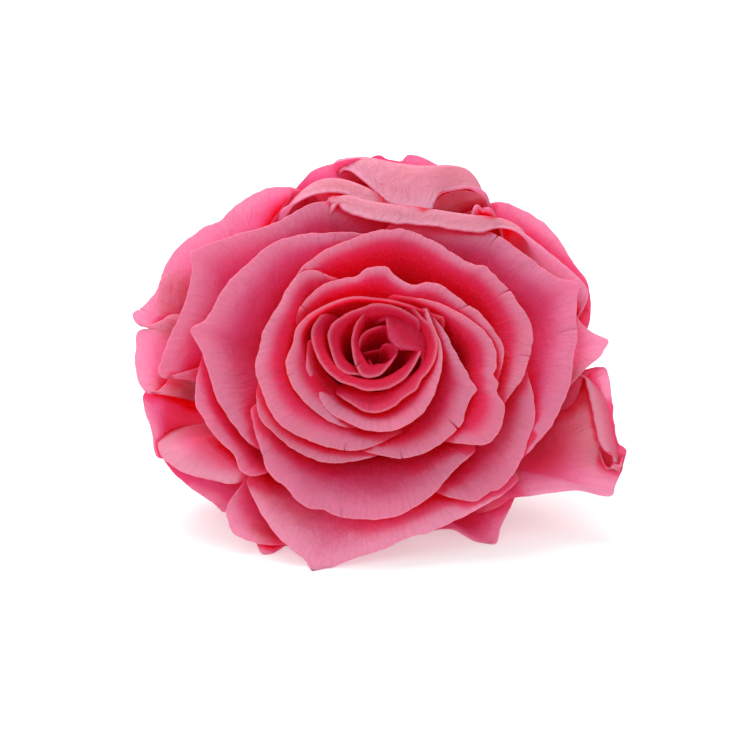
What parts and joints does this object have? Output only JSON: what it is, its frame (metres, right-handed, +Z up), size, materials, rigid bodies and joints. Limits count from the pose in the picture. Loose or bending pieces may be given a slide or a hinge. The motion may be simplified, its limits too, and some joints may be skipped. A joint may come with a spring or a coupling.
{
  "type": "preserved rose",
  "caption": "Preserved rose head, full blown and cut from its stem, lying tilted on its front petals with its face to the viewer.",
  "frame": {"origin": "the middle of the head's box, on the surface that it lies on", "axes": "+Z up, +X to the right as the viewer sees the bloom's face, -Y towards the viewer"},
  "size_m": [0.0696, 0.0528, 0.047],
  "materials": {
    "petals": "matte, velvety",
    "calyx": "matte"
  },
  "bodies": {
    "root": {"bloom": "petals", "calyx": "calyx"}
  },
  "joints": []
}
